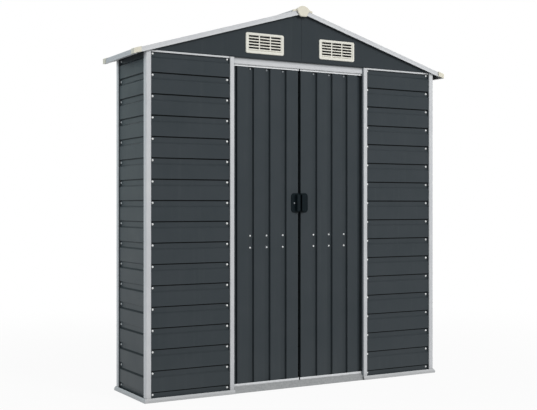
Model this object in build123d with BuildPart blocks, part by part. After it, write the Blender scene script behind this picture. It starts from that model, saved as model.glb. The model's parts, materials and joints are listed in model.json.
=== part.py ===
from build123d import *
from math import atan2, cos
import os

# Shallow steel storage shed with a gable roof and a pair of sliding doors.
# Millimetres, +Z up, +X to the right along the front, +Y to the back.

# Sheet metal and play
sheet = 1.2
skin = 1.0
fit_gap = 0.3
overrun = 20

# Wall frame, measured over the outer faces of the posts
wall_width = 1756
wall_depth = 390
wall_height = 1698

# Posts
corner_face = 30
door_post_face = 27
back_post_face = 28
post_proud = 13
post_flange = 26
post_bevel = 4

# Board siding
board_pitch = 103
first_joint = 34
board_step = 7
joint_under = 14
joint_over = 12
joint_ledge = 2.5
joint_slope = 8

# Base rails
base_lip = 21
base_knee = 11
base_flare = 8
base_reveal = 2
base_upstand = 16

# Wall top rails
top_rail_lip = 8
top_rail_leg = 13

# Doorway
door_opening = 792
header_drop = 31.5
header_setback = 13
header_return = 3.4
sill_height = 34
sill_toe = 2
sill_hem = 8
sill_top = 3
sill_setback = 12

# Door leaves
door_gap = 8
door_edge_inset = 4.5
door_lap = 15
door_clear = 5.2
door_depth = 20
door_lift = 5
door_top_reveal = 2
door_top_strip = 12
door_bottom_strip = 21
door_rib_start = 95
door_rib_margin = 25
door_rib_count = 4
door_rib_floor = 26.5
door_rib_slope = 3.5
door_rib_depth = 12
door_brace_middle = 764
door_brace_height = 84

# Door running gear
track_height = 18
track_slot = 10
track_half = 15.2
guide_groove = 12
guide_upstand = 18
slide_length = 45
slide_inset = 60
slide_head = 24
slide_head_height = 6.5
slide_play = 1
guide_lift = 6

# Door handles
handle_width = 47
handle_height = 102
handle_bottom = 911
handle_plate = 4
handle_corner = 18
handle_clear = 8
pull_width = 20.5
pull_wall = 3
pull_margin = 8
pull_height = 18
pull_edge_height = 16
pull_round = 1.5
plate_edge = 1.5

# Gables
gable_setback = 2
gable_return = 16
gable_seam = 1
gable_foot = 4

# Vents
vent_width = 224
vent_height = 105
vent_corner = 10
vent_proud = 5
vent_rim = 9
vent_collar = 8
vent_wall = 2.5
vent_hole_corner = 6
vent_edge = 2
vent_recess = 2.5
vent_middle = 221
vent_lift = 25
vent_rows = 5
vent_columns = 3
vent_divider = 6
slot_pitch = 14.8
slot_height = 8.8
slot_lift = 5
hood_height = 5.7
hood_depth = 4

# Roof
eave_overhang = 64
eave_drop = 2
ridge_rise = 279
verge_overhang = 14
roof_rib_height = 8
roof_rib_top = 8
roof_rib_slope = 5
roof_rib_count = 3
roof_edge_rib = 10
ridge_gap = 2
eave_gap = 4
verge_face = 24
verge_band = 10
verge_flare = 4
verge_lip = 16
verge_return = 6
eave_face = 24
eave_lip = 24
eave_return = 14
ridge_flange = 58
crown_foot = 30
crown_top = 20
crown_rise = 12
beam_half = 20
beam_height = 40

# Plastic roof caps
cap_wall = 2
corner_cap_length = 38
ridge_hood_depth = 24
wing_setback = 2
wing_depth = 8
wing_height = 9
shield_thickness = 6.5
shield_lift = 1.5
shield_half = 40
shield_shoulder = 22
shield_foot = 20
shield_height = 56
shield_round = 8
shield_edge = 3

# Places that follow from the sizes above
half_width = wall_width / 2
half_depth = wall_depth / 2
wall_top = wall_height - sheet
front = -half_depth
left = -half_width
board_band = post_proud
board_back = post_proud + skin
flange_back = board_back + sheet
rail_back = flange_back + sheet
rail_front = board_band - board_step - sheet
door_edge = door_opening / 2
door_post_outer = door_edge + door_post_face
corner_inner = half_width - corner_face
header_bottom = wall_height - header_drop

door_face = rail_back + door_clear
door_back = door_face + door_depth
door_middle = door_face + door_depth / 2
door_top = header_bottom + door_top_reveal
leaf_inner = door_gap / 2
leaf_outer = door_edge + door_lap
panel_inner = leaf_inner + door_edge_inset
door_bottom = guide_upstand + door_lift
door_rib_span = leaf_outer - door_rib_margin - door_rib_start
panel_face = door_face + sheet
panel_back = door_back - sheet

track_bottom = wall_height - track_height
groove_front = door_middle - guide_groove / 2 - sheet
groove_back = door_middle + guide_groove / 2 + sheet
track_end = half_width - groove_front - fit_gap

eave_half = half_width + eave_overhang
eave_top = wall_height - eave_drop
roof_half = half_depth + verge_overhang
slope = ridge_rise / eave_half
pitch = atan2(ridge_rise, eave_half)
rib_crest = roof_rib_height + skin
trim_top = rib_crest + sheet
peak = eave_top + ridge_rise - trim_top / cos(pitch)


def roof_height(x, lift):
    # Height of the roof slope at a distance from the ridge, lifted square to the slope
    return peak + lift / cos(pitch) - slope * abs(x)


def save(part, name):
    part.label = name
    export_step(part, f"parts/{name}.step")


def folded_outline(points, thickness, side):
    # Closed outline of a sheet folded along the points, with its thickness to one side of them
    bends = [Vector(*point) for point in points]
    runs = [(end - start).normalized() for start, end in zip(bends, bends[1:])]
    reach = thickness if side == Side.LEFT else -thickness
    normals = [Vector(-run.Y, run.X) for run in runs]
    far_bends = []
    for bend, before, after in zip(bends, [normals[0], *normals], [*normals, normals[-1]]):
        far_bends.append(bend + (before + after) * (reach / (1 + before.dot(after))))
    return [*bends, *reversed(far_bends)]


def folded(plane, points, thickness, length, side):
    # Folded sheet run out for its length
    with BuildPart() as piece:
        with BuildSketch(plane):
            with BuildLine():
                Polyline(*folded_outline(points, thickness, side), close=True)
            make_face()
        extrude(amount=length)
    return piece.part


def mirrored(part, plane):
    with BuildPart() as piece:
        mirror(part, about=plane)
    return piece.part


def gathered(*parts):
    # Like pieces kept as separate solids of one node
    return Compound(children=[solid for part in parts for solid in part.solids()])


def trimmed(part, plane, keep):
    with BuildPart() as piece:
        add(part)
        split(bisect_by=plane, keep=keep)
    return piece.part


def along_x(points, start, end, thickness, side):
    # Section given as inward depth and height, run along the front wall
    section = [(front + depth, height) for depth, height in points]
    return folded(Plane.YZ.offset(start), section, thickness, end - start, side)


def along_y(points, reach, thickness, side):
    # Section given as inward depth and height, run along the left wall
    section = [(left + depth, height) for depth, height in points]
    return folded(Plane.XZ.offset(-reach), section, thickness, reach + reach, side)


os.makedirs("parts", exist_ok=True)

# Base rails, mitred at the corners
base_section = [
    (groove_front, base_upstand),
    (groove_front, 0),
    (-base_flare, 0),
    (-base_flare, base_knee),
    (-base_reveal, base_lip),
]
front_mitre = Plane(origin=(left, front, 0), z_dir=(1, -1, 0))
back_mitre = Plane(origin=(left, half_depth, 0), z_dir=(1, 1, 0))
base_overrun = overrun + base_flare

base_front_left = trimmed(
    along_x(base_section, left - base_overrun, -door_edge, sheet, Side.RIGHT), front_mitre, Keep.TOP
)
save(base_front_left, "base_front_left_rail")
save(mirrored(base_front_left, Plane.YZ), "base_front_right_rail")

base_left = along_y(base_section, half_depth + base_overrun, sheet, Side.RIGHT)
base_left = trimmed(base_left, front_mitre, Keep.BOTTOM)
base_left = trimmed(base_left, back_mitre, Keep.BOTTOM)
save(base_left, "base_left_rail")
save(mirrored(base_left, Plane.YZ), "base_right_rail")

base_back = along_x(
    base_section, left - base_overrun, half_width + base_overrun, sheet, Side.RIGHT
)
base_back = trimmed(base_back, front_mitre, Keep.TOP)
base_back = trimmed(base_back, Plane(origin=(half_width, front, 0), z_dir=(-1, -1, 0)), Keep.TOP)
save(mirrored(base_back, Plane.XZ), "base_back_rail")

# Sloping sill between the door posts
sill_section = [
    (sill_hem - sill_toe, 0),
    (-sill_toe, 0),
    (sill_setback, sill_height),
    (sill_setback + sill_top, sill_height),
    (sill_setback + sill_top, sheet),
    (groove_front, sheet),
]
door_sill = along_x(
    sill_section, -door_edge + fit_gap, door_edge - fit_gap, sheet, Side.RIGHT
)
save(door_sill, "door_sill")

# Grooved track on the ground that steadies the foot of both doors
bottom_track_section = [
    (groove_front, guide_upstand),
    (groove_front, 0),
    (groove_back, 0),
    (groove_back, guide_upstand),
]
save(along_x(bottom_track_section, -track_end, track_end, sheet, Side.LEFT), "bottom_track")

# Corner posts, folded from the corner outwards to the two board flanges
post_height = wall_top - sheet
flange_end = corner_face + post_flange
corner_points = [
    (left + flange_end, front + board_back),
    (left + corner_face, front + board_back),
    (left + corner_face, front + post_bevel),
    (left + corner_face - post_bevel, front),
    (left + post_bevel, front),
    (left, front + post_bevel),
    (left, front + corner_face - post_bevel),
    (left + post_bevel, front + corner_face),
    (left + board_back, front + corner_face),
    (left + board_back, front + flange_end),
]
post_floor = Plane.XY.offset(sheet)
front_left_post = folded(post_floor, corner_points, sheet, post_height, Side.RIGHT)
save(front_left_post, "front_left_corner_post")
save(mirrored(front_left_post, Plane.YZ), "front_right_corner_post")
back_left_post = mirrored(front_left_post, Plane.XZ)
save(back_left_post, "back_left_corner_post")
save(mirrored(back_left_post, Plane.YZ), "back_right_corner_post")

# Door posts
door_post_points = [
    (-door_post_outer - post_flange, front + board_back),
    (-door_post_outer, front + board_back),
    (-door_post_outer, front + post_bevel),
    (-door_post_outer + post_bevel, front),
    (-door_edge - post_bevel, front),
    (-door_edge, front + post_bevel),
    (-door_edge, front + flange_back),
]
left_door_post = folded(post_floor, door_post_points, sheet, post_height, Side.LEFT)
save(left_door_post, "left_door_post")
save(mirrored(left_door_post, Plane.YZ), "right_door_post")

# Middle post of the back wall
half_back_post = back_post_face / 2
back_post_points = [
    (-half_back_post - post_flange, front + board_back),
    (-half_back_post, front + board_back),
    (-half_back_post, front + post_bevel),
    (-half_back_post + post_bevel, front),
    (half_back_post - post_bevel, front),
    (half_back_post, front + post_bevel),
    (half_back_post, front + board_back),
    (half_back_post + post_flange, front + board_back),
]
back_post = folded(post_floor, back_post_points, sheet, post_height, Side.LEFT)
save(mirrored(back_post, Plane.XZ), "back_middle_post")

# Board siding: wide faces standing in front of narrow screwed joint bands
joint_count = int((wall_top - joint_over - first_joint) // board_pitch) + 1
board_face = board_band - board_step
board_section = [(board_face, sheet + fit_gap)]
for joint in range(joint_count):
    screw_line = first_joint + joint * board_pitch
    board_section.append((board_face, screw_line - joint_under - joint_slope))
    board_section.append((board_band, screw_line - joint_under))
    if joint < joint_count - 1:
        board_section.append((board_band, screw_line + joint_over))
        board_section.append((board_face, screw_line + joint_over + joint_ledge))
board_section.append((board_band, wall_top))

front_left_wall = along_x(
    board_section, -corner_inner + fit_gap, -door_post_outer - fit_gap, skin, Side.RIGHT
)
save(front_left_wall, "front_left_wall")
save(mirrored(front_left_wall, Plane.YZ), "front_right_wall")

back_left_wall = along_x(
    board_section, -corner_inner + fit_gap, -half_back_post - fit_gap, skin, Side.RIGHT
)
back_left_wall = mirrored(back_left_wall, Plane.XZ)
save(back_left_wall, "back_left_wall")
save(mirrored(back_left_wall, Plane.YZ), "back_right_wall")

left_wall = along_y(board_section, half_depth - corner_face - fit_gap, skin, Side.RIGHT)
save(left_wall, "left_wall")
save(mirrored(left_wall, Plane.YZ), "right_wall")

# Top rails that cap the boards of the front and back walls
top_section = [
    (rail_front, wall_height - top_rail_lip),
    (rail_front, wall_height),
    (rail_back, wall_height),
    (rail_back, wall_height - top_rail_leg),
]
front_rail = along_x(
    top_section, -corner_inner + fit_gap, -door_post_outer - fit_gap, sheet, Side.RIGHT
)
save(gathered(front_rail, mirrored(front_rail, Plane.YZ)), "front_top_rails")
back_rail = along_x(
    top_section, -corner_inner + fit_gap, -half_back_post - fit_gap, sheet, Side.RIGHT
)
back_rail = mirrored(back_rail, Plane.XZ)
save(gathered(back_rail, mirrored(back_rail, Plane.YZ)), "back_top_rails")

# Top rails of the side walls, with their upper face on the slope of the roof
gable_inside = half_depth - gable_setback - gable_return
side_top_section = [
    (rail_front, wall_top),
    (rail_front, roof_height(half_width - rail_front, 0)),
    (rail_back, roof_height(half_width - rail_back, 0)),
    (rail_back, wall_height - top_rail_leg),
]
left_top_rail = along_y(side_top_section, gable_inside - fit_gap, sheet, Side.RIGHT)
save(gathered(left_top_rail, mirrored(left_top_rail, Plane.YZ)), "side_top_rails")

# Header over the doorway
header_section = [
    (rail_back, wall_height),
    (header_setback, wall_height),
    (header_setback, header_bottom),
    (header_setback + header_return, header_bottom),
]
door_header = along_x(
    header_section, -door_edge + fit_gap, door_edge - fit_gap, sheet, Side.LEFT
)
save(door_header, "door_header")

# Slotted rail that carries both doors
half_slot = track_slot / 2
top_track_section = [
    (door_middle - half_slot, track_bottom),
    (rail_back, track_bottom),
    (rail_back, wall_height),
    (door_middle + track_half, wall_height),
    (door_middle + track_half, track_bottom),
    (door_middle + half_slot, track_bottom),
]
save(along_x(top_track_section, -track_end, track_end, sheet, Side.RIGHT), "top_track")

# Gable halves: shallow trays with a hole for the vent
gable_face = front + gable_setback
gable_outer = half_width - gable_setback
vent_centre = wall_height + vent_lift + vent_height / 2
vent_hole_width = vent_width - vent_rim - vent_rim
vent_hole_height = vent_height - vent_rim - vent_rim


def gable_outline(inset):
    inner = gable_seam / 2 + inset
    outer = gable_outer - inset
    return [
        (-outer, wall_height + inset),
        (-inner, wall_height + inset),
        (-inner, roof_height(inner, -inset)),
        (-outer, roof_height(outer, -inset)),
    ]


def gable_block(inset):
    # Solid block of the outline with its front lower edge folded back
    with BuildPart() as block:
        with BuildSketch(Plane.XZ.offset(-gable_face - inset)):
            with BuildLine():
                Polyline(*gable_outline(inset), close=True)
            make_face()
        extrude(amount=-gable_return)
        foot_edges = block.edges().filter_by(Axis.X).group_by(Axis.Z)[0]
        chamfer(foot_edges.sort_by(Axis.Y)[0], length=gable_foot)
    return block.part


with BuildPart() as gable:
    add(gable_block(0))
    add(gable_block(skin), mode=Mode.SUBTRACT)
    with BuildSketch(Plane.XZ.offset(-gable_face)):
        with Locations((-vent_middle, vent_centre)):
            RectangleRounded(vent_hole_width, vent_hole_height, vent_hole_corner)
    extrude(amount=-gable_return, mode=Mode.SUBTRACT)
front_left_gable = gable.part
save(front_left_gable, "front_left_gable")
save(mirrored(front_left_gable, Plane.YZ), "front_right_gable")
back_left_gable = mirrored(front_left_gable, Plane.XZ)
save(back_left_gable, "back_left_gable")
save(mirrored(back_left_gable, Plane.YZ), "back_right_gable")

# Louvred vents, pushed into the gable holes from outside
collar_width = vent_hole_width - fit_gap - fit_gap
collar_height = vent_hole_height - fit_gap - fit_gap
recess_width = collar_width - vent_wall - vent_wall
recess_height = collar_height - vent_wall - vent_wall
slot_width = (recess_width - (vent_columns + 1) * vent_divider) / vent_columns
slot_step = slot_width + vent_divider
louvre_face = gable_face - vent_proud + vent_recess
slot_middle = vent_centre + slot_lift
vent_place = Plane.XZ.offset(-gable_face)
slots_start = -vent_middle - (vent_columns * slot_step - vent_divider) / 2

with BuildPart() as vent:
    with BuildSketch(vent_place):
        with Locations((-vent_middle, vent_centre)):
            RectangleRounded(vent_width, vent_height, vent_corner)
    extrude(amount=vent_proud)
    chamfer(vent.faces().sort_by(Axis.Y)[0].edges(), length=vent_edge)
    with BuildSketch(vent_place.offset(vent_proud - vent_recess)):
        with Locations((-vent_middle, vent_centre)):
            RectangleRounded(recess_width, recess_height, vent_hole_corner - vent_wall)
    extrude(amount=vent_recess, mode=Mode.SUBTRACT)
    with BuildSketch(vent_place):
        with Locations((-vent_middle, vent_centre)):
            RectangleRounded(collar_width, collar_height, vent_hole_corner - fit_gap)
            RectangleRounded(
                recess_width, recess_height, vent_hole_corner - vent_wall, mode=Mode.SUBTRACT
            )
    extrude(amount=-vent_collar)
    for column in range(vent_columns):
        with BuildSketch(Plane.YZ.offset(slots_start + column * slot_step)):
            for row in range(vent_rows):
                lip = slot_middle + (row - (vent_rows + 1) / 2) * slot_pitch + slot_height / 2
                with BuildLine():
                    Polyline(
                        (louvre_face, lip),
                        (louvre_face - hood_depth, lip),
                        (louvre_face, lip + hood_height),
                        close=True,
                    )
                make_face()
        extrude(amount=slot_width)
    with BuildSketch(vent_place):
        with Locations((-vent_middle, slot_middle)):
            with GridLocations(slot_step, slot_pitch, vent_columns, vent_rows):
                Rectangle(slot_width, slot_height)
    extrude(amount=vent_proud, mode=Mode.SUBTRACT)
front_vents = gathered(vent.part, mirrored(vent.part, Plane.YZ))
save(front_vents, "front_vents")
back_left_vent = mirrored(vent.part, Plane.XZ)
save(gathered(back_left_vent, mirrored(back_left_vent, Plane.YZ)), "back_vents")

# Roof sheets, ribbed from ridge to eave
left_slope = Plane(
    origin=(0, 0, peak), x_dir=(0, -1, 0), z_dir=(-eave_half, 0, -ridge_rise)
)
slope_start = left_slope.offset(-overrun)
slope_run = eave_half / cos(pitch) + overrun + overrun
roof_edge = roof_half - verge_flare - sheet - fit_gap
roof_flat = roof_edge - roof_edge_rib - roof_rib_slope
roof_rib_pitch = (roof_edge + roof_edge) / (roof_rib_count + 1)
half_rib = roof_rib_top / 2

roof_section = [
    (-roof_edge, roof_rib_height),
    (-roof_edge + roof_edge_rib, roof_rib_height),
    (-roof_flat, 0),
]
for rib in range(roof_rib_count):
    rib_middle = -roof_edge + (rib + 1) * roof_rib_pitch
    roof_section.append((rib_middle - half_rib - roof_rib_slope, 0))
    roof_section.append((rib_middle - half_rib, roof_rib_height))
    roof_section.append((rib_middle + half_rib, roof_rib_height))
    roof_section.append((rib_middle + half_rib + roof_rib_slope, 0))
roof_section.append((roof_flat, 0))
roof_section.append((roof_edge - roof_edge_rib, roof_rib_height))
roof_section.append((roof_edge, roof_rib_height))

left_roof = folded(slope_start, roof_section, skin, slope_run, Side.LEFT)
left_roof = trimmed(left_roof, Plane.YZ.offset(-ridge_gap / 2), Keep.BOTTOM)
left_roof = trimmed(left_roof, Plane.YZ.offset(eave_gap - eave_half), Keep.TOP)
save(left_roof, "left_roof_panel")
save(mirrored(left_roof, Plane.YZ), "right_roof_panel")

# Verge trims along the gable edges of the roof
verge_section = [
    (roof_half - verge_lip, trim_top),
    (roof_half - verge_flare, trim_top),
    (roof_half - verge_flare, trim_top + verge_band - verge_face),
    (roof_half, trim_top - verge_face),
    (roof_half - verge_return, trim_top - verge_face),
]
verge_end = eave_half - eave_lip - sheet - fit_gap
verge = folded(slope_start, verge_section, sheet, slope_run, Side.RIGHT)
verge = trimmed(verge, Plane.YZ.offset(-fit_gap / 2), Keep.BOTTOM)
front_left_verge = trimmed(verge, Plane.YZ.offset(-verge_end), Keep.TOP)
save(gathered(front_left_verge, mirrored(front_left_verge, Plane.YZ)), "front_verge_trims")
back_left_verge = mirrored(front_left_verge, Plane.XZ)
save(gathered(back_left_verge, mirrored(back_left_verge, Plane.YZ)), "back_verge_trims")

# Eave trims along the low edges of the roof
eave_bottom = eave_top - eave_face
eave_section = [
    (eave_lip - eave_half, roof_height(eave_half - eave_lip, trim_top)),
    (-eave_half, eave_top),
    (-eave_half, eave_bottom),
    (eave_return - eave_half, eave_bottom),
]
left_eave = folded(
    Plane.XZ.offset(-roof_half), eave_section, sheet, roof_half + roof_half, Side.LEFT
)
save(gathered(left_eave, mirrored(left_eave, Plane.YZ)), "eave_trims")

# Moulded caps over the four eave corners
cap_outer = eave_half + cap_wall
cap_inner = cap_outer - corner_cap_length
with BuildPart() as corner_cap:
    with BuildSketch(Plane.XZ.offset(roof_half + cap_wall)):
        with BuildLine():
            Polyline(
                (-cap_outer, roof_height(cap_outer, trim_top + cap_wall)),
                (-cap_inner, roof_height(cap_inner, trim_top + cap_wall)),
                (-cap_inner, eave_bottom + slope * corner_cap_length),
                (-cap_outer, eave_bottom),
                close=True,
            )
        make_face()
    extrude(amount=-corner_cap_length)
    with BuildSketch(Plane.XZ.offset(roof_half)):
        with BuildLine():
            Polyline(
                (-eave_half, eave_top),
                (overrun - cap_inner, roof_height(cap_inner - overrun, trim_top)),
                (overrun - cap_inner, eave_bottom - overrun),
                (-eave_half, eave_bottom - overrun),
                close=True,
            )
        make_face()
    extrude(amount=-corner_cap_length, mode=Mode.SUBTRACT)
front_caps = gathered(corner_cap.part, mirrored(corner_cap.part, Plane.YZ))
save(gathered(front_caps, mirrored(front_caps, Plane.XZ)), "roof_corner_caps")

# Ridge: beam under the sheets, raised cover over them and a moulded cap at each end
beam_section = [
    (-beam_half, roof_height(beam_half, 0) - beam_height),
    (-beam_half, roof_height(beam_half, 0)),
    (0, peak),
    (beam_half, roof_height(beam_half, 0)),
    (beam_half, roof_height(beam_half, 0) - beam_height),
]
beam_reach = gable_inside - fit_gap
ridge_beam = folded(
    Plane.XZ.offset(-beam_reach), beam_section, sheet, beam_reach + beam_reach, Side.RIGHT
)
save(ridge_beam, "ridge_beam")

crown_side = roof_height(crown_top, rib_crest) + crown_rise
crown_peak = roof_height(0, rib_crest) + crown_rise
ridge_section = [
    (-ridge_flange, roof_height(ridge_flange, rib_crest)),
    (-crown_foot, roof_height(crown_foot, rib_crest)),
    (-crown_top, crown_side),
    (0, crown_peak),
    (crown_top, crown_side),
    (crown_foot, roof_height(crown_foot, rib_crest)),
    (ridge_flange, roof_height(ridge_flange, rib_crest)),
]
ridge_reach = roof_half - verge_lip - fit_gap
ridge_cover = folded(
    Plane.XZ.offset(-ridge_reach), ridge_section, sheet, ridge_reach + ridge_reach, Side.LEFT
)
save(ridge_cover, "ridge_cover")

shield_top = crown_peak + (sheet + cap_wall) / cos(pitch) + shield_lift
shield_side = shield_top - shield_shoulder
shield_bottom = shield_top - shield_height
wing_front = Plane.XZ.offset(roof_half - wing_setback)
wing_points = [
    (-ridge_flange, roof_height(ridge_flange, trim_top)),
    (-crown_foot, roof_height(crown_foot, trim_top)),
]
with BuildPart() as ridge_cap:
    with BuildSketch(Plane.XZ.offset(roof_half)):
        with BuildLine():
            Polyline(
                *folded_outline(ridge_section[1:-1], sheet + cap_wall, Side.LEFT), close=True
            )
        make_face()
    extrude(amount=-ridge_hood_depth)
    with BuildSketch(wing_front):
        with BuildLine():
            Polyline(*folded_outline(ridge_section, sheet + cap_wall, Side.LEFT), close=True)
        make_face()
    extrude(amount=wing_setback - ridge_hood_depth)
    with BuildSketch(wing_front):
        with BuildLine():
            Polyline(*folded_outline(wing_points, wing_height, Side.LEFT), close=True)
        make_face()
        mirror(about=Plane.YZ)
    extrude(amount=-wing_depth)
    with BuildSketch(Plane.XZ.offset(roof_half)):
        with BuildLine():
            Polyline(*folded_outline(ridge_section, sheet, Side.LEFT), close=True)
        make_face()
    extrude(amount=-ridge_hood_depth - overrun, mode=Mode.SUBTRACT)
    with BuildSketch(Plane.XZ.offset(roof_half)) as shield:
        with BuildLine():
            ThreePointArc((-shield_half, shield_side), (0, shield_top), (shield_half, shield_side))
            Polyline(
                (shield_half, shield_side),
                (shield_foot, shield_bottom),
                (-shield_foot, shield_bottom),
                (-shield_half, shield_side),
            )
        make_face()
        fillet(shield.vertices(), radius=shield_round)
    extrude(amount=shield_thickness)
    chamfer(ridge_cap.faces().sort_by(Axis.Y)[0].edges(), length=shield_edge)
save(gathered(ridge_cap.part, mirrored(ridge_cap.part, Plane.XZ)), "ridge_end_caps")

# Left door leaf: grooved sheet with folded edges
panel_points = [(-leaf_outer, front + panel_back), (-leaf_outer, front + panel_face)]
half_floor = door_rib_floor / 2
groove_floor = panel_face + door_rib_depth
door_rib_pitch = door_rib_span / (door_rib_count - 1)
for rib in reversed(range(door_rib_count)):
    rib_middle = -door_rib_start - rib * door_rib_pitch
    panel_points.append((rib_middle - half_floor - door_rib_slope, front + panel_face))
    panel_points.append((rib_middle - half_floor, front + groove_floor))
    panel_points.append((rib_middle + half_floor, front + groove_floor))
    panel_points.append((rib_middle + half_floor + door_rib_slope, front + panel_face))
panel_points.append((-panel_inner, front + panel_face))
panel_points.append((-panel_inner, front + panel_back))
panel_height = door_top - door_bottom - sheet - sheet
left_panel = folded(
    Plane.XY.offset(door_bottom + sheet), panel_points, skin, panel_height, Side.LEFT
)
save(left_panel, "left_door_panel")
save(mirrored(left_panel, Plane.YZ), "right_door_panel")

# Channels that close the top and bottom of a leaf
top_channel_section = [
    (door_face, door_top - door_top_strip),
    (door_face, door_top),
    (door_back, door_top),
    (door_back, door_top - door_top_strip),
]
left_top_channel = along_x(top_channel_section, -leaf_outer, -leaf_inner, sheet, Side.RIGHT)

bottom_channel_section = [
    (door_face, door_bottom + door_bottom_strip),
    (door_face, door_bottom),
    (door_back, door_bottom),
    (door_back, door_bottom + door_bottom_strip),
]
left_bottom_channel = along_x(
    bottom_channel_section, -leaf_outer, -leaf_inner, sheet, Side.LEFT
)
left_channels = gathered(left_top_channel, left_bottom_channel)
save(left_channels, "left_door_channels")
save(mirrored(left_channels, Plane.YZ), "right_door_channels")

# Cross brace behind the grooves
brace_front = groove_floor + skin
brace_low = door_brace_middle - door_brace_height / 2
brace_section = [
    (panel_back, brace_low),
    (brace_front, brace_low),
    (brace_front, brace_low + door_brace_height),
    (panel_back, brace_low + door_brace_height),
]
left_brace = along_x(
    brace_section, -leaf_outer + skin + fit_gap, -panel_inner - skin - fit_gap, sheet, Side.RIGHT
)
save(left_brace, "left_door_brace")
save(mirrored(left_brace, Plane.YZ), "right_door_brace")

# Handle: rounded plate with a wedge-shaped grip beside the meeting edge
handle_middle = handle_bottom + handle_height / 2
handle_outer = leaf_inner + handle_width
plate_front = front + panel_face - handle_plate
grip_height = handle_height - pull_margin - pull_margin
with BuildPart() as handle:
    with BuildSketch(Plane.XZ.offset(-front - panel_face)) as plate:
        with Locations((-leaf_inner - handle_width / 2, handle_middle)):
            Rectangle(handle_width, handle_height)
        fillet(plate.vertices().group_by(Axis.X)[0], radius=handle_corner)
    extrude(amount=handle_plate)
    chamfer(handle.faces().sort_by(Axis.Y)[0].edges(), length=plate_edge)
    with BuildSketch(Plane.XY.offset(handle_bottom + pull_margin)):
        with BuildLine():
            Polyline(
                (-leaf_inner - plate_edge, plate_front),
                (-leaf_inner - plate_edge, plate_front - pull_edge_height),
                (-leaf_inner - pull_width + pull_wall, plate_front - pull_height),
                (-leaf_inner - pull_width, plate_front - pull_height),
                (-leaf_inner - pull_width - pull_wall, plate_front),
                close=True,
            )
        make_face()
    extrude(amount=grip_height)
    fillet(handle.edges().filter_by(Axis.Z).sort_by(Axis.Y)[:2], radius=pull_round)
save(handle.part, "left_door_handle")
save(mirrored(handle.part, Plane.YZ), "right_door_handle")

# Slides that hang a leaf in the slotted rail, and guides that run in the ground track
head_bottom = track_bottom + sheet + fit_gap
half_head = slide_head / 2
half_neck = half_slot - slide_play
half_guide = guide_groove / 2 - slide_play
slide_starts = [-leaf_outer + slide_inset, -leaf_inner - slide_inset - slide_length]


def solid_along_x(points, start, length):
    with BuildPart() as piece:
        with BuildSketch(Plane.YZ.offset(start)):
            with BuildLine():
                Polyline(*[(front + depth, height) for depth, height in points], close=True)
            make_face()
        extrude(amount=length)
    return piece.part


slide_section = [
    (door_middle - half_neck, door_top),
    (door_middle - half_neck, head_bottom),
    (door_middle - half_head, head_bottom),
    (door_middle - half_head, head_bottom + slide_head_height),
    (door_middle + half_head, head_bottom + slide_head_height),
    (door_middle + half_head, head_bottom),
    (door_middle + half_neck, head_bottom),
    (door_middle + half_neck, door_top),
]
guide_section = [
    (door_middle - half_guide, guide_lift),
    (door_middle + half_guide, guide_lift),
    (door_middle + half_guide, door_bottom),
    (door_middle - half_guide, door_bottom),
]
left_slides = [solid_along_x(slide_section, x, slide_length) for x in slide_starts]
left_guides = [solid_along_x(guide_section, x, slide_length) for x in slide_starts]
left_runners = gathered(*left_slides, *left_guides)
save(left_runners, "left_door_runners")
save(mirrored(left_runners, Plane.YZ), "right_door_runners")

print(f"each door slides {door_edge - handle_outer - handle_clear:.1f} mm")
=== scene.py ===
import json
import math

import bmesh
import bpy
from mathutils import Matrix, Vector


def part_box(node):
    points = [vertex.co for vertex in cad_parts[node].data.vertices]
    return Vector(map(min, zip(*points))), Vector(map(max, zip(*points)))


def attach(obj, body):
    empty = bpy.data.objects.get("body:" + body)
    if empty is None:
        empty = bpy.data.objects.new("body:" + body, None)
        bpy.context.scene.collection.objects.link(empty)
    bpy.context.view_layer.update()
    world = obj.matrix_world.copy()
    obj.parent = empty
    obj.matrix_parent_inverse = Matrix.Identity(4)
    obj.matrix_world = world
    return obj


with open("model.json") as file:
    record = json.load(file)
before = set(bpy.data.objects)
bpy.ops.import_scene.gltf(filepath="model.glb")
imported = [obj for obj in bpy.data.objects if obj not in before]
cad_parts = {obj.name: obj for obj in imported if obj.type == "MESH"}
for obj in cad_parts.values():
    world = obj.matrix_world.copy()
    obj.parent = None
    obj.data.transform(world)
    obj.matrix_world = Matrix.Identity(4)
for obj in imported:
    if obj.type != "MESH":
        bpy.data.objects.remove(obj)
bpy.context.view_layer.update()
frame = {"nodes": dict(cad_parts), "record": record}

scene = bpy.context.scene
scene.view_settings.view_transform = "Standard"
print("frame loaded:", len(frame["nodes"]), "nodes")


def linear(hexText):  # sRGB hex to linear RGBA
    channels = [int(hexText[i:i + 2], 16) / 255 for i in (1, 3, 5)]
    return [c / 12.92 if c <= 0.04045 else ((c + 0.055) / 1.055) ** 2.4 for c in channels] + [1.0]


def perMetre(sizeMm):  # pattern scale from a real size in millimetres
    return 1000.0 / sizeMm


def addNode(tree, kind, values=None, links=None, **settings):
    node = tree.nodes.new(kind)
    for key, value in settings.items():
        setattr(node, key, value)
    for key, value in (values or {}).items():
        node.inputs[key].default_value = value
    for key, source in (links or {}).items():
        tree.links.new(source, node.inputs[key])
    return node


def newMaterial(name):
    material = bpy.data.materials.new(name)
    material.use_nodes = True
    material.node_tree.nodes.clear()
    return material, material.node_tree


# sockets of a Mix node, which share their names between its kinds: factor, then number and colour
mixFactor = 0
mixPlainA, mixPlainB, mixPlainResult = 2, 3, 0
mixA, mixB, mixResult = 6, 7, 2

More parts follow.
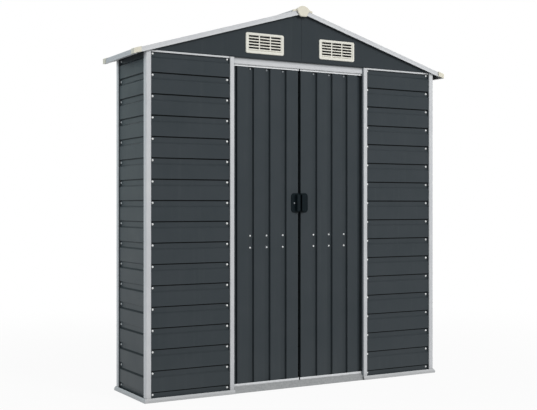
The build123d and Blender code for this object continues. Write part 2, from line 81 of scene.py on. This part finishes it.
# noise, ranges and depths (m) that every coated sheet shares
sheetPattern = {
    "patchNoise": {"Detail": 3.0, "Roughness": 0.55}, "gritNoise": {"Detail": 2.0, "Roughness": 0.6},
    "peelNoise": {"Detail": 2.0, "Roughness": 0.5}, "streakNoise": {"Detail": 3.0, "Roughness": 0.6},
    "patchRange": {"From Min": 0.3, "From Max": 0.7}, "speckRange": {"From Min": 0.58, "From Max": 0.8},
    "streakRange": {"From Min": 0.55, "From Max": 0.8},
    "sheenRange": {"From Min": 0.25, "From Max": 0.75}, "smoother": 0.05, "rougher": 0.06,
    "peelDepth": 0.0004, "waveDepth": 0.004, "lineEdge": 0.0005, "returnEdge": 0.0004}


def boardLine(tree, height, start, pitch, reach):  # 1 on a line that every board repeats, else 0
    above = addNode(tree, "ShaderNodeMath", {1: start}, {0: height}, operation="SUBTRACT")
    within = addNode(tree, "ShaderNodeMath", {1: pitch}, {0: above.outputs[0]},
                     operation="FLOORED_MODULO")
    return addNode(tree, "ShaderNodeMapRange",
                   {"From Min": reach, "From Max": reach + sheetPattern["lineEdge"],
                    "To Min": 1.0, "To Max": 0.0},
                   {"Value": within.outputs[0]}).outputs["Result"]


def amountByHeight(tree, line, height, low, high):  # low and high: (height, amount)
    amount = addNode(tree, "ShaderNodeMapRange",
                     {"From Min": low[0], "From Max": high[0], "To Min": low[1], "To Max": high[1]},
                     {"Value": height})
    return addNode(tree, "ShaderNodeMath", None, {0: line, 1: amount.outputs["Result"]},
                   operation="MULTIPLY").outputs[0]


# Coil-coated steel sheet: thin satin polyester paint over zinc, rolled flat, so the eye sees a
# slightly uneven sheen, a faint orange-peel skin, pale rain streaks and some dust near the ground.
def coatedSheet(finish):
    material, tree = newMaterial(finish["name"])
    place = addNode(tree, "ShaderNodeTexCoord").outputs["Object"]
    patches = addNode(tree, "ShaderNodeTexNoise",
                      {"Scale": perMetre(finish["patchMm"]), **sheetPattern["patchNoise"]},
                      {"Vector": place})
    grit = addNode(tree, "ShaderNodeTexNoise",
                   {"Scale": perMetre(finish["gritMm"]), **sheetPattern["gritNoise"]},
                   {"Vector": place})
    peel = addNode(tree, "ShaderNodeTexNoise",
                   {"Scale": perMetre(finish["peelMm"]), **sheetPattern["peelNoise"]},
                   {"Vector": place})
    drawnDown = addNode(tree, "ShaderNodeMapping", {"Scale": (1.0, 1.0, finish["streakDraw"])},
                        {"Vector": place})
    streaks = addNode(tree, "ShaderNodeTexNoise",
                      {"Scale": perMetre(finish["streakMm"]), **sheetPattern["streakNoise"]},
                      {"Vector": drawnDown.outputs["Vector"]})
    tone = addNode(tree, "ShaderNodeMapRange", sheetPattern["patchRange"],
                   {"Value": patches.outputs["Fac"]})
    paint = addNode(tree, "ShaderNodeMix",
                    {mixA: linear(finish["dark"]), mixB: linear(finish["light"])},
                    {mixFactor: tone.outputs["Result"]}, data_type="RGBA")
    speckAmount = addNode(tree, "ShaderNodeMapRange",
                          {**sheetPattern["speckRange"], "To Max": finish["speck"]},
                          {"Value": grit.outputs["Fac"]})
    specked = addNode(tree, "ShaderNodeMix", {mixB: linear(finish["speckColour"])},
                      {mixFactor: speckAmount.outputs["Result"], mixA: paint.outputs[mixResult]},
                      data_type="RGBA")
    streakAmount = addNode(tree, "ShaderNodeMapRange",
                           {**sheetPattern["streakRange"], "To Max": finish["streak"]},
                           {"Value": streaks.outputs["Fac"]})
    streaked = addNode(tree, "ShaderNodeMix", {mixB: linear(finish["dustColour"])},
                       {mixFactor: streakAmount.outputs["Result"], mixA: specked.outputs[mixResult]},
                       data_type="RGBA")
    height = addNode(tree, "ShaderNodeSeparateXYZ", None, {"Vector": place}).outputs["Z"]
    dustAmount = addNode(tree, "ShaderNodeMapRange",
                         {"From Min": 0.0, "From Max": finish["dustHeight"],
                          "To Min": finish["dust"], "To Max": 0.0},
                         {"Value": height}, interpolation_type="SMOOTHSTEP")
    colour = addNode(tree, "ShaderNodeMix", {mixB: linear(finish["dustColour"])},
                     {mixFactor: dustAmount.outputs["Result"], mixA: streaked.outputs[mixResult]},
                     data_type="RGBA").outputs[mixResult]
    if "gableShadowColour" in finish:  # painted shadow of the gable's lower edge, darkest at the top of the piece
        gableShadow = addNode(tree, "ShaderNodeMapRange",
                       {"From Min": finish["gableShadowTop"] - finish["gableShadowReach"],
                        "From Max": finish["gableShadowTop"], "To Max": finish["gableShadow"]}, {"Value": height})
        colour = addNode(tree, "ShaderNodeMix", {mixB: linear(finish["gableShadowColour"])},
                         {mixFactor: gableShadow.outputs["Result"], mixA: colour},
                         data_type="RGBA").outputs[mixResult]
    if "ledgeShadeColour" in finish:  # painted shade: a dark line under the ledge of every board and another on the slope below its band, each with an amount that changes with height
        ledge = boardLine(tree, height, finish["ledgeShadeStart"], finish["boardPitch"], finish["ledgeShadeHeight"])
        ledgeShade = amountByHeight(tree, ledge, height, finish["ledgeShadeLow"], finish["ledgeShadeHigh"])
        slope = boardLine(tree, height, finish["slopeShadeStart"], finish["boardPitch"],
                          finish["slopeShadeHeight"])
        slopeShade = amountByHeight(tree, slope, height, finish["slopeShadeLow"], finish["slopeShadeHigh"])
        paintedShade = addNode(tree, "ShaderNodeMath", None, {0: ledgeShade, 1: slopeShade},
                       operation="MAXIMUM").outputs[0]
        colour = addNode(tree, "ShaderNodeMix", {mixB: linear(finish["ledgeShadeColour"])},
                         {mixFactor: paintedShade, mixA: colour}, data_type="RGBA").outputs[mixResult]
    if "sideShadeColour" in finish:  # folded sides behind the outer face are painted dark grey as shade
        distance = addNode(tree, "ShaderNodeVectorMath", None, {0: place}, operation="ABSOLUTE")
        inward = addNode(tree, "ShaderNodeVectorMath", {0: finish["outerFaces"]},
                         {1: distance.outputs[0]}, operation="SUBTRACT")
        depths = addNode(tree, "ShaderNodeSeparateXYZ", None, {"Vector": inward.outputs[0]})
        depth = addNode(tree, "ShaderNodeMath", None,
                        {0: depths.outputs["X"], 1: depths.outputs["Y"]}, operation="MINIMUM")
        behind = addNode(tree, "ShaderNodeMapRange",
                         {"From Min": finish["returnDepth"],
                          "From Max": finish["returnDepth"] + sheetPattern["returnEdge"]},
                         {"Value": depth.outputs[0]})
        colour = addNode(tree, "ShaderNodeMix", {mixB: linear(finish["sideShadeColour"])},
                         {mixFactor: behind.outputs["Result"], mixA: colour},
                         data_type="RGBA").outputs[mixResult]
    if "revealShadeColour" in finish:  # the side towards the doorway is painted a paler grey as shade
        beside = addNode(tree, "ShaderNodeMath", {1: finish["revealDepth"]}, {0: depths.outputs["X"]},
                         operation="GREATER_THAN")
        colour = addNode(tree, "ShaderNodeMix", {mixB: linear(finish["revealShadeColour"])},
                         {mixFactor: beside.outputs[0], mixA: colour},
                         data_type="RGBA").outputs[mixResult]
    sheen = addNode(tree, "ShaderNodeMapRange",
                    {**sheetPattern["sheenRange"],
                     "To Min": finish["roughness"] - sheetPattern["smoother"],
                     "To Max": finish["roughness"] + sheetPattern["rougher"]},
                    {"Value": patches.outputs["Fac"]}).outputs["Result"]
    if "ledgeShadeColour" in finish:  # the painted shade lines are matt as well
        sheen = addNode(tree, "ShaderNodeMix", {mixPlainB: finish["ledgeShadeRoughness"]},
                        {mixFactor: paintedShade, mixPlainA: sheen}).outputs[mixPlainResult]
    skin = addNode(tree, "ShaderNodeBump",
                   {"Strength": finish["peelStrength"], "Distance": sheetPattern["peelDepth"]},
                   {"Height": peel.outputs["Fac"]})
    wave = addNode(tree, "ShaderNodeBump",
                   {"Strength": finish["waveStrength"], "Distance": sheetPattern["waveDepth"]},
                   {"Height": patches.outputs["Fac"], "Normal": skin.outputs["Normal"]})
    shader = addNode(tree, "ShaderNodeBsdfPrincipled", {"IOR": finish["ior"]},
                     {"Base Color": colour, "Roughness": sheen, "Normal": wave.outputs["Normal"]})
    addNode(tree, "ShaderNodeOutputMaterial", None, {"Surface": shader.outputs["BSDF"]})
    return material


anthracite = {
    "name": "anthracitePolyesterCoatedSteel", "dark": "#31383c", "light": "#363c40",
    "speckColour": "#39434a", "speck": 0.3, "dustColour": "#5d6262", "dust": 0.06,
    "dustHeight": 0.3, "streak": 0.08, "streakMm": 26, "streakDraw": 0.04, "patchMm": 160,
    "gritMm": 2.2, "peelMm": 3.5, "peelStrength": 0.12, "waveStrength": 0.03, "roughness": 0.45,
    "ior": 1.3}
anthraciteCoating = coatedSheet(anthracite)
# gable sheets: the same anthracite paint, painted darker as shade
gableShadeCoating = coatedSheet({
    **anthracite, "name": "anthraciteGableSheetShaded", "dark": "#2b3236", "light": "#2f3539"})
# board siding: the same paint, with painted shade lines under each board's ledge and on its slope
siding = {
    **anthracite, "name": "anthraciteBoardSiding", "boardPitch": 0.103, "ledgeShadeColour": "#080b0c",
    "ledgeShadeRoughness": 0.95, "ledgeShadeStart": 0.0428, "ledgeShadeHeight": 0.0057, "ledgeShadeLow": (0.0, 0.9),
    "ledgeShadeHigh": (1.8, 0.9), "slopeShadeStart": 0.012, "slopeShadeHeight": 0.0078, "slopeShadeLow": (0.0, 0.17),
    "slopeShadeHigh": (1.8, 0.08)}
boardCoating = coatedSheet(siding)
# on the end walls the painted shade passes from the ledge to the slope towards the ground
sideBoardCoating = coatedSheet({
    **siding, "name": "anthraciteSideSiding", "ledgeShadeLow": (0.45, 0.0), "ledgeShadeHigh": (0.98, 0.44),
    "slopeShadeLow": (0.35, 0.6), "slopeShadeHigh": (1.25, 0.0)})

# Powder-coated steel folded to posts and trims: a thicker, smoother light grey paint with a soft
# sheen, faint streaks and a dusty foot.
lightGrey = {
    "name": "lightGreyPowderCoatedSteel", "dark": "#c1c3c6", "light": "#c9cbcd",
    "speckColour": "#b6b9bb", "speck": 0.3, "dustColour": "#8f908e", "dust": 0.36,
    "dustHeight": 0.05, "streak": 0.1, "streakMm": 18, "streakDraw": 0.05, "patchMm": 120,
    "gritMm": 1.8, "peelMm": 2.5, "peelStrength": 0.1, "waveStrength": 0.02, "roughness": 0.42,
    "ior": 1.45}
lightGreyCoating = coatedSheet(lightGrey)
# posts: light grey, with the sides behind the outer face painted dark as shade
shadedSides = {
    **lightGrey, "name": "postPowderCoatedSteelSidesShaded", "sideShadeColour": "#4a4f53",
    "outerFaces": (0.878, 0.195, 0.0), "returnDepth": 0.0022}
postCoating = coatedSheet(shadedSides)
# door posts: as the posts, with the side towards the doorway painted a paler grey as shade
doorPostCoating = coatedSheet({
    **shadedSides, "name": "doorPostPowderCoatedSteel", "revealShadeColour": "#8a9197", "revealDepth": 0.4815})
# door header: light grey with a painted shadow of the gable along its top
headerCoating = coatedSheet({
    **lightGrey, "name": "headerPowderCoatedSteel", "gableShadowColour": "#63686b", "gableShadow": 0.78,
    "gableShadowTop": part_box("door_header")[1].z, "gableShadowReach": 0.016})
# eave trims: the same light grey, painted darker as shade
eaveShadeCoating = coatedSheet({
    **lightGrey, "name": "eavePowderCoatedSteelShaded", "dark": "#b5b7ba", "light": "#bcbec0"})
# door channels: the same light grey, painted paler as light where the header shades them
channelLitCoating = coatedSheet({
    **lightGrey, "name": "channelPowderCoatedSteelLit", "dark": "#e6e8ea", "light": "#eceef0"})

# Hot-dip galvanised steel: bare zinc with spangle, small crystal patches of slightly different
# grey and gloss. Minimised spangle of about 6 mm, so the sill reads as one even grey.
zincFinish = {"name": "galvanisedSteel", "spangleMm": 6.0, "dark": "#959798", "light": "#a1a3a4",
              "roughLow": 0.32, "roughHigh": 0.5}
galvanised, tree = newMaterial(zincFinish["name"])
place = addNode(tree, "ShaderNodeTexCoord").outputs["Object"]
spangle = addNode(tree, "ShaderNodeTexVoronoi", {"Scale": perMetre(zincFinish["spangleMm"])},
                  {"Vector": place})
flake = addNode(tree, "ShaderNodeSeparateColor", None, {"Color": spangle.outputs["Color"]})
zincTone = addNode(tree, "ShaderNodeMix",
                   {mixA: linear(zincFinish["dark"]), mixB: linear(zincFinish["light"])},
                   {mixFactor: flake.outputs["Red"]}, data_type="RGBA")
zincGloss = addNode(tree, "ShaderNodeMapRange",
                    {"To Min": zincFinish["roughLow"], "To Max": zincFinish["roughHigh"]},
                    {"Value": flake.outputs["Green"]})
shader = addNode(tree, "ShaderNodeBsdfPrincipled", {"Metallic": 1.0},
                 {"Base Color": zincTone.outputs[mixResult], "Roughness": zincGloss.outputs["Result"]})
addNode(tree, "ShaderNodeOutputMaterial", None, {"Surface": shader.outputs["BSDF"]})

# and those that every moulded piece shares
mouldPattern = {"cloudNoise": {"Detail": 2.0}, "grainNoise": {"Detail": 3.0},
                "grainRange": {"From Min": 0.3, "From Max": 0.7}, "glossSwing": 0.06,
                "grainDepth": 0.0003}


# Moulded plastic: even colour through the wall with a fine spark-eroded grain from the mould,
# a soft broad highlight and slight flow clouding.
def mouldedPlastic(finish):
    material, tree = newMaterial(finish["name"])
    place = addNode(tree, "ShaderNodeTexCoord").outputs["Object"]
    cloud = addNode(tree, "ShaderNodeTexNoise",
                    {"Scale": perMetre(finish["cloudMm"]), **mouldPattern["cloudNoise"]},
                    {"Vector": place})
    grain = addNode(tree, "ShaderNodeTexNoise",
                    {"Scale": perMetre(finish["grainMm"]), **mouldPattern["grainNoise"]},
                    {"Vector": place})
    tone = addNode(tree, "ShaderNodeMix",
                   {mixA: linear(finish["dark"]), mixB: linear(finish["light"])},
                   {mixFactor: cloud.outputs["Fac"]}, data_type="RGBA")
    gloss = addNode(tree, "ShaderNodeMapRange",
                    {**mouldPattern["grainRange"],
                     "To Min": finish["roughness"] - mouldPattern["glossSwing"],
                     "To Max": finish["roughness"] + mouldPattern["glossSwing"]},
                    {"Value": grain.outputs["Fac"]})
    skin = addNode(tree, "ShaderNodeBump",
                   {"Strength": finish["grainStrength"], "Distance": mouldPattern["grainDepth"]},
                   {"Height": grain.outputs["Fac"]})
    shader = addNode(tree, "ShaderNodeBsdfPrincipled", {"IOR": finish["ior"]},
                     {"Base Color": tone.outputs[mixResult], "Roughness": gloss.outputs["Result"],
                      "Normal": skin.outputs["Normal"]})
    addNode(tree, "ShaderNodeOutputMaterial", None, {"Surface": shader.outputs["BSDF"]})
    return material


creamPlastic = mouldedPlastic({
    "name": "creamMouldedPolypropylene", "dark": "#d2cebe", "light": "#dcd8c9", "cloudMm": 40,
    "grainMm": 1.2, "grainStrength": 0.2, "roughness": 0.48, "ior": 1.49})
ivoryPlastic = mouldedPlastic({
    "name": "ivoryMouldedPolypropylene", "dark": "#dad9cf", "light": "#e2e1d8", "cloudMm": 40,
    "grainMm": 1.2, "grainStrength": 0.2, "roughness": 0.45, "ior": 1.49})
blackPlastic = mouldedPlastic({
    "name": "blackMouldedAbs", "dark": "#0e161a", "light": "#131c20", "cloudMm": 30,
    "grainMm": 1.0, "grainStrength": 0.3, "roughness": 0.5, "ior": 1.18})
# Nylon screw caps: clean white on front and back; the same white caps are painted duller on the ends,
# and grey at the top of the doors and beside the handle, as shade.
nylonCap = {"cloudMm": 6, "grainMm": 0.8, "grainStrength": 0.15, "ior": 1.49}
shadedGreyNylon = mouldedPlastic({
    **nylonCap, "name": "nylonScrewCapDeepShade", "dark": "#9a9fa3", "light": "#a6abaf", "roughness": 0.4})
whiteNylon = mouldedPlastic({
    **nylonCap, "name": "whiteNylonScrewCap", "dark": "#eef0f0", "light": "#f6f7f7", "roughness": 0.35})
shadedDullNylon = mouldedPlastic({
    **nylonCap, "name": "nylonScrewCapShade", "dark": "#c6cbcd", "light": "#cfd3d5", "roughness": 0.45})
# Closed-cell foam tape: soft matt black with fine pores, so it shows no highlight.
blackFoam = mouldedPlastic({
    "name": "blackFoamTape", "dark": "#15181a", "light": "#1b1f21", "cloudMm": 12,
    "grainMm": 0.7, "grainStrength": 0.4, "roughness": 0.85, "ior": 1.3})
# Insect gauze: glass yarn in black vinyl, woven open, a matt dark veil behind the louvres. The real
# mesh is about 1.5 mm, too fine to show here, so it is drawn at 2.5 mm.
blackGauze = mouldedPlastic({
    "name": "blackFibreglassGauze", "dark": "#101315", "light": "#15191b", "cloudMm": 20,
    "grainMm": 0.6, "grainStrength": 0.3, "roughness": 0.7, "ior": 1.35})
print("materials made")

# each CAD node takes its own finish, or its kind's (a later ending wins), or else its slot's
finishOfSlot = {"anthracite_sheet": anthraciteCoating, "light_grey_steel": lightGreyCoating,
                "galvanised_steel": galvanised, "cream_plastic": creamPlastic,
                "black_plastic": blackPlastic}
finishOfEnding = {"_post": postCoating, "door_post": doorPostCoating, "_wall": boardCoating,
                  "_gable": gableShadeCoating, "_channels": channelLitCoating, "_vents": ivoryPlastic}
finishOfNode = {"left_wall": sideBoardCoating, "right_wall": sideBoardCoating,
                "door_header": headerCoating, "eave_trims": eaveShadeCoating}
for subpart in frame["record"]["subparts"]:
    finish = finishOfSlot[subpart["material_slot"]]
    for ending, special in finishOfEnding.items():
        if subpart["node"].endswith(ending):
            finish = special
    materials = frame["nodes"][subpart["node"]].data.materials
    materials.clear()
    materials.append(finishOfNode.get(subpart["node"], finish))
print("finishes set on the frame")


def addPiece(name, bm, body, material):
    mesh = bpy.data.meshes.new(name)
    bm.to_mesh(mesh)
    bm.free()
    mesh.materials.append(material)
    piece = bpy.data.objects.new(name, mesh)
    scene.collection.objects.link(piece)
    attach(piece, body)
    return piece


# how a screw is turned: shares of its own sizes, steps round, and the distance that merges points
screwTurning = {"edgeLift": 0.6, "collar": 1.1, "shoulder": 0.8, "crown": 0.7, "steps": 10,
                "merge": 1e-6}


def screwMesh(size):  # turned about +Z, seat at z = 0
    bm = bmesh.new()
    outline = [(size["capRadius"], 0.0),
               (size["capRadius"], size["capEdge"] * screwTurning["edgeLift"]),
               (size["headRadius"] * screwTurning["collar"], size["capEdge"]),
               (size["headRadius"], size["headHeight"] * screwTurning["shoulder"]),
               (size["headRadius"] * screwTurning["crown"], size["headHeight"]),
               (0.0, size["headHeight"] - size["dimple"])]
    verts = [bm.verts.new((radius, 0, z)) for radius, z in outline]
    edges = [bm.edges.new(pair) for pair in zip(verts, verts[1:])]
    bmesh.ops.spin(bm, geom=verts + edges, cent=(0, 0, 0), axis=(0, 0, 1), angle=math.tau,
                   steps=screwTurning["steps"], use_merge=True)
    bmesh.ops.remove_doubles(bm, verts=bm.verts, dist=screwTurning["merge"])
    rim = [e for e in bm.edges if e.is_boundary]
    bmesh.ops.holes_fill(bm, edges=rim, sides=0)
    bmesh.ops.recalc_face_normals(bm, faces=bm.faces)
    mesh = bpy.data.meshes.new("screwShape")
    bm.to_mesh(mesh)
    bm.free()
    return mesh


def addScrews(name, size, places, body, material):  # places: (seat point, outward direction)
    shape = screwMesh(size)
    bm = bmesh.new()
    for point, outward in places:
        before = set(bm.verts)
        bm.from_mesh(shape)
        turn = Vector((0, 0, 1)).rotation_difference(Vector(outward)).to_matrix().to_4x4()
        fresh = [v for v in bm.verts if v not in before]
        bmesh.ops.transform(bm, matrix=Matrix.Translation(point) @ turn, verts=fresh)
    screws = addPiece(name, bm, body, material)
    for polygon in screws.data.polygons:
        polygon.use_smooth = True


wallScrew = {"capRadius": 0.0056, "capEdge": 0.0012, "headRadius": 0.0034, "headHeight": 0.0034,
             "dimple": 0.0008}
wallRows = {"first": 0.034, "pitch": siding["boardPitch"], "count": 17, "seat": 0.182,
            "sideSeat": 0.865, "frontColumns": (-0.838, -0.433, 0.4292, 0.835),
            "backColumns": (-0.838, -0.024, 0.024, 0.838), "sideColumns": (-0.155, 0.155)}
rows = [wallRows["first"] + wallRows["pitch"] * row for row in range(wallRows["count"])]
addScrews("frontWallScrews", wallScrew,
          [((x, -wallRows["seat"], z), (0, -1, 0)) for x in wallRows["frontColumns"] for z in rows],
          "shed", whiteNylon)
addScrews("backWallScrews", wallScrew,
          [((x, wallRows["seat"], z), (0, 1, 0)) for x in wallRows["backColumns"] for z in rows],
          "shed", whiteNylon)
addScrews("sideWallScrews", wallScrew,
          [((side * wallRows["sideSeat"], y, z), (side, 0, 0))
           for side in (-1, 1) for y in wallRows["sideColumns"] for z in rows],
          "shed", shadedDullNylon)

doorScrew = {"capRadius": 0.0050, "capEdge": 0.0010, "headRadius": 0.0034, "headHeight": 0.0028,
             "dimple": 0.0008}
leaf = {"seat": -0.1602, "columns": (0.095, 0.192, 0.289), "rows": (0.7325, 0.793), "topRow": 1.647}
for body, side in (("left_door", -1), ("right_door", 1)):
    name = body.split("_")[0] + "Door"
    addScrews(name + "BraceScrews", doorScrew,
              [((side * x, leaf["seat"], z), (0, -1, 0)) for x in leaf["columns"] for z in leaf["rows"]],
              body, whiteNylon)
    addScrews(name + "TopScrews", doorScrew,
              [((side * x, leaf["seat"], leaf["topRow"]), (0, -1, 0)) for x in leaf["columns"]],
              body, shadedGreyNylon)

handleScrew = {"capRadius": 0.0038, "capEdge": 0.0008, "headRadius": 0.0026, "headHeight": 0.0018,
               "dimple": 0.0006, "seat": (-0.033, -0.1762, 0.961)}
addScrews("leftHandleScrew", handleScrew, [(handleScrew["seat"], (0, -1, 0))], "left_door",
          shadedGreyNylon)
print("screws set")


def vertsOf(parts):
    return [part for part in parts if isinstance(part, bmesh.types.BMVert)]


# foam tape pressed into the upright seam between the two halves of each gable
gableSeal = {"half": 0.00045, "outer": 0.1905, "inner": 0.1785, "bulge": 0.0004, "foot": 1.6985,
             "top": 1.963}
bm = bmesh.new()
section = [(-gableSeal["half"], -gableSeal["inner"]), (-gableSeal["half"], -gableSeal["outer"]),
           (0.0, -gableSeal["outer"] - gableSeal["bulge"]), (gableSeal["half"], -gableSeal["outer"]),
           (gableSeal["half"], -gableSeal["inner"])]
foot = bm.faces.new([bm.verts.new((x, y, gableSeal["foot"])) for x, y in section])
raised = bmesh.ops.extrude_face_region(bm, geom=[foot])["geom"]
bmesh.ops.translate(bm, vec=(0, 0, gableSeal["top"] - gableSeal["foot"]), verts=vertsOf(raised))
copied = bmesh.ops.duplicate(bm, geom=bm.verts[:] + bm.edges[:] + bm.faces[:])["geom"]
bmesh.ops.scale(bm, vec=(1, -1, 1), verts=vertsOf(copied))
bmesh.ops.recalc_face_normals(bm, faces=bm.faces)
gableSeals = addPiece("gableSeals", bm, "shed", blackFoam)
print("gable seals set:", len(gableSeals.data.polygons), "faces")

# gauze held in the collar of each vent: upright threads in front, level ones behind
ventGauze = {"middle": 0.221, "height": 1.7755, "width": 0.1998, "drop": 0.0808, "seat": 0.1875,
             "mesh": 0.0025, "thread": 0.0013, "thickness": 0.0005}
uprightThread = Vector((ventGauze["thread"], ventGauze["thickness"], ventGauze["drop"]))
levelThread = Vector((ventGauze["width"], ventGauze["thickness"], ventGauze["thread"]))


def threadPlaces(length):
    count = int(length / ventGauze["mesh"])
    return [(place - (count - 1) / 2) * ventGauze["mesh"] for place in range(count)]


for name, face in (("frontVentGauze", -1), ("backVentGauze", 1)):
    bm = bmesh.new()
    outer = face * ventGauze["seat"]
    inner = face * (ventGauze["seat"] - ventGauze["thickness"])
    for middle in (-ventGauze["middle"], ventGauze["middle"]):
        for x in threadPlaces(ventGauze["width"]):
            place = Vector((middle + x, outer, ventGauze["height"]))
            bmesh.ops.create_cube(bm, size=1.0, matrix=Matrix.LocRotScale(place, None, uprightThread))
        for z in threadPlaces(ventGauze["drop"]):
            place = Vector((middle, inner, ventGauze["height"] + z))
            bmesh.ops.create_cube(bm, size=1.0, matrix=Matrix.LocRotScale(place, None, levelThread))
    addPiece(name, bm, "shed", blackGauze)
print("vent gauze set")

studio = {"floorSize": 30.0, "floorColour": "#c9c9c9", "nearWhite": 0.94, "nearReach": 1.2,
          "farReach": 4.5, "inside": (0.87, 0.185, 1.0), "skyStrength": 0.5,
          "skyColour": (1.0, 1.0, 1.0, 1.0), "skyTint": (0.7, 0.98, 1.0, 1.0), "tintFrom": -0.1,
          "tintFull": -0.6}
bm = bmesh.new()
bmesh.ops.create_grid(bm, x_segments=2, y_segments=2, size=studio["floorSize"])
floorMesh = bpy.data.meshes.new("studioFloor")
bm.to_mesh(floorMesh)
bm.free()
floor = bpy.data.objects.new("studioFloor", floorMesh)
scene.collection.objects.link(floor)


def seenRays(tree):  # 1 for rays from the camera, mirrors and glass, else 0
    path = addNode(tree, "ShaderNodeLightPath")
    seen = addNode(tree, "ShaderNodeMath", None,
                   {0: path.outputs["Is Camera Ray"], 1: path.outputs["Is Glossy Ray"]},
                   operation="MAXIMUM")
    return addNode(tree, "ShaderNodeMath", None,
                   {0: seen.outputs[0], 1: path.outputs["Is Transmission Ray"]},
                   operation="MAXIMUM").outputs[0]


# Pale studio floor: matt paper, seen as white, darker only in the shadow close to the shed.
paper, tree = newMaterial("palePaperFloor")
place = addNode(tree, "ShaderNodeTexCoord").outputs["Object"]
away = addNode(tree, "ShaderNodeVectorMath", None, {0: place}, operation="LENGTH")
white = addNode(tree, "ShaderNodeMapRange",
                {"From Min": studio["nearReach"], "From Max": studio["farReach"],
                 "To Min": studio["nearWhite"], "To Max": 1.0},
                {"Value": away.outputs["Value"]}, interpolation_type="SMOOTHSTEP")
# the ground inside the shed stays unlit
distance = addNode(tree, "ShaderNodeVectorMath", None, {0: place}, operation="ABSOLUTE")
apart = addNode(tree, "ShaderNodeVectorMath", {1: studio["inside"]}, {0: distance.outputs[0]},
                operation="DIVIDE")
sides = addNode(tree, "ShaderNodeSeparateXYZ", None, {"Vector": apart.outputs[0]})
reach = addNode(tree, "ShaderNodeMath", None, {0: sides.outputs["X"], 1: sides.outputs["Y"]},
                operation="MAXIMUM")
outside = addNode(tree, "ShaderNodeMath", {1: 1.0}, {0: reach.outputs[0]}, operation="GREATER_THAN")
outsideWhite = addNode(tree, "ShaderNodeMath", None,
                       {0: outside.outputs[0], 1: white.outputs["Result"]}, operation="MULTIPLY")
share = addNode(tree, "ShaderNodeMath", None, {0: seenRays(tree), 1: outsideWhite.outputs[0]},
                operation="MULTIPLY")
matt = addNode(tree, "ShaderNodeBsdfDiffuse", {"Color": linear(studio["floorColour"])})
glow = addNode(tree, "ShaderNodeEmission", {"Strength": 1.0})
floorMix = addNode(tree, "ShaderNodeMixShader", None,
                   {0: share.outputs[0], 1: matt.outputs[0], 2: glow.outputs[0]})
addNode(tree, "ShaderNodeOutputMaterial", None, {"Surface": floorMix.outputs[0]})
floorMesh.materials.append(paper)

# White studio sky: seen as white, and mirrored with a cool tint from the left
world = bpy.data.worlds.new("studioWorld")
scene.world = world
world.use_nodes = True
tree = world.node_tree
tree.nodes.clear()
level = addNode(tree, "ShaderNodeMapRange", {"To Min": studio["skyStrength"], "To Max": 1.0},
                {"Value": seenRays(tree)})
mirrored = addNode(tree, "ShaderNodeLightPath").outputs["Is Glossy Ray"]
heading = addNode(tree, "ShaderNodeSeparateXYZ", None,
                  {"Vector": addNode(tree, "ShaderNodeTexCoord").outputs["Generated"]})
leftward = addNode(tree, "ShaderNodeMapRange",
                   {"From Min": studio["tintFrom"], "From Max": studio["tintFull"]},
                   {"Value": heading.outputs["X"]})
tint = addNode(tree, "ShaderNodeMath", None, {0: mirrored, 1: leftward.outputs["Result"]},
               operation="MULTIPLY")
skyColour = addNode(tree, "ShaderNodeMix", {mixA: studio["skyColour"], mixB: studio["skyTint"]},
                    {mixFactor: tint.outputs[0]}, data_type="RGBA")
sky = addNode(tree, "ShaderNodeBackground", None,
              {"Color": skyColour.outputs[mixResult], "Strength": level.outputs["Result"]})
addNode(tree, "ShaderNodeOutputWorld", None, {"Surface": sky.outputs[0]})


def addPanel(panel):  # soft box aimed at a point, not mirrored in the sheet
    data = bpy.data.lights.new(panel["name"], "AREA")
    data.shape = "RECTANGLE"
    data.size, data.size_y = panel["size"]
    data.energy = panel["watts"]
    data.color = linear(panel["colour"])[:3]
    lamp = bpy.data.objects.new(panel["name"], data)
    lamp.location = panel["place"]
    aim = Vector(panel["aim"]) - Vector(panel["place"])
    lamp.rotation_euler = aim.to_track_quat("-Z", "Y").to_euler()
    lamp.visible_glossy = False
    scene.collection.objects.link(lamp)


addPanel({"name": "keyPanel", "place": (2.2, -8.7, 6.8), "aim": (0, 0, 1.0), "size": (2.6, 2.6),
          "watts": 640, "colour": "#ffffff"})
addPanel({"name": "sidePanel", "place": (-5.0, 2.0, 1.7), "aim": (-0.9, 0, 0.9), "size": (2.5, 2.5),
          "watts": 60, "colour": "#eaf6ff"})

viewpoint = {"place": (-2.708, -4.567, 0.951), "tilt": 90.0, "turn": -29.84, "lens": 65.8,
             "sensor": 36.0}
cameraData = bpy.data.cameras.new("photoView")
cameraData.sensor_width = viewpoint["sensor"]
cameraData.lens = viewpoint["lens"]
camera = bpy.data.objects.new("photoView", cameraData)
camera.location = viewpoint["place"]
camera.rotation_euler = (math.radians(viewpoint["tilt"]), 0, math.radians(viewpoint["turn"]))
scene.collection.objects.link(camera)
scene.camera = camera
print("studio set")
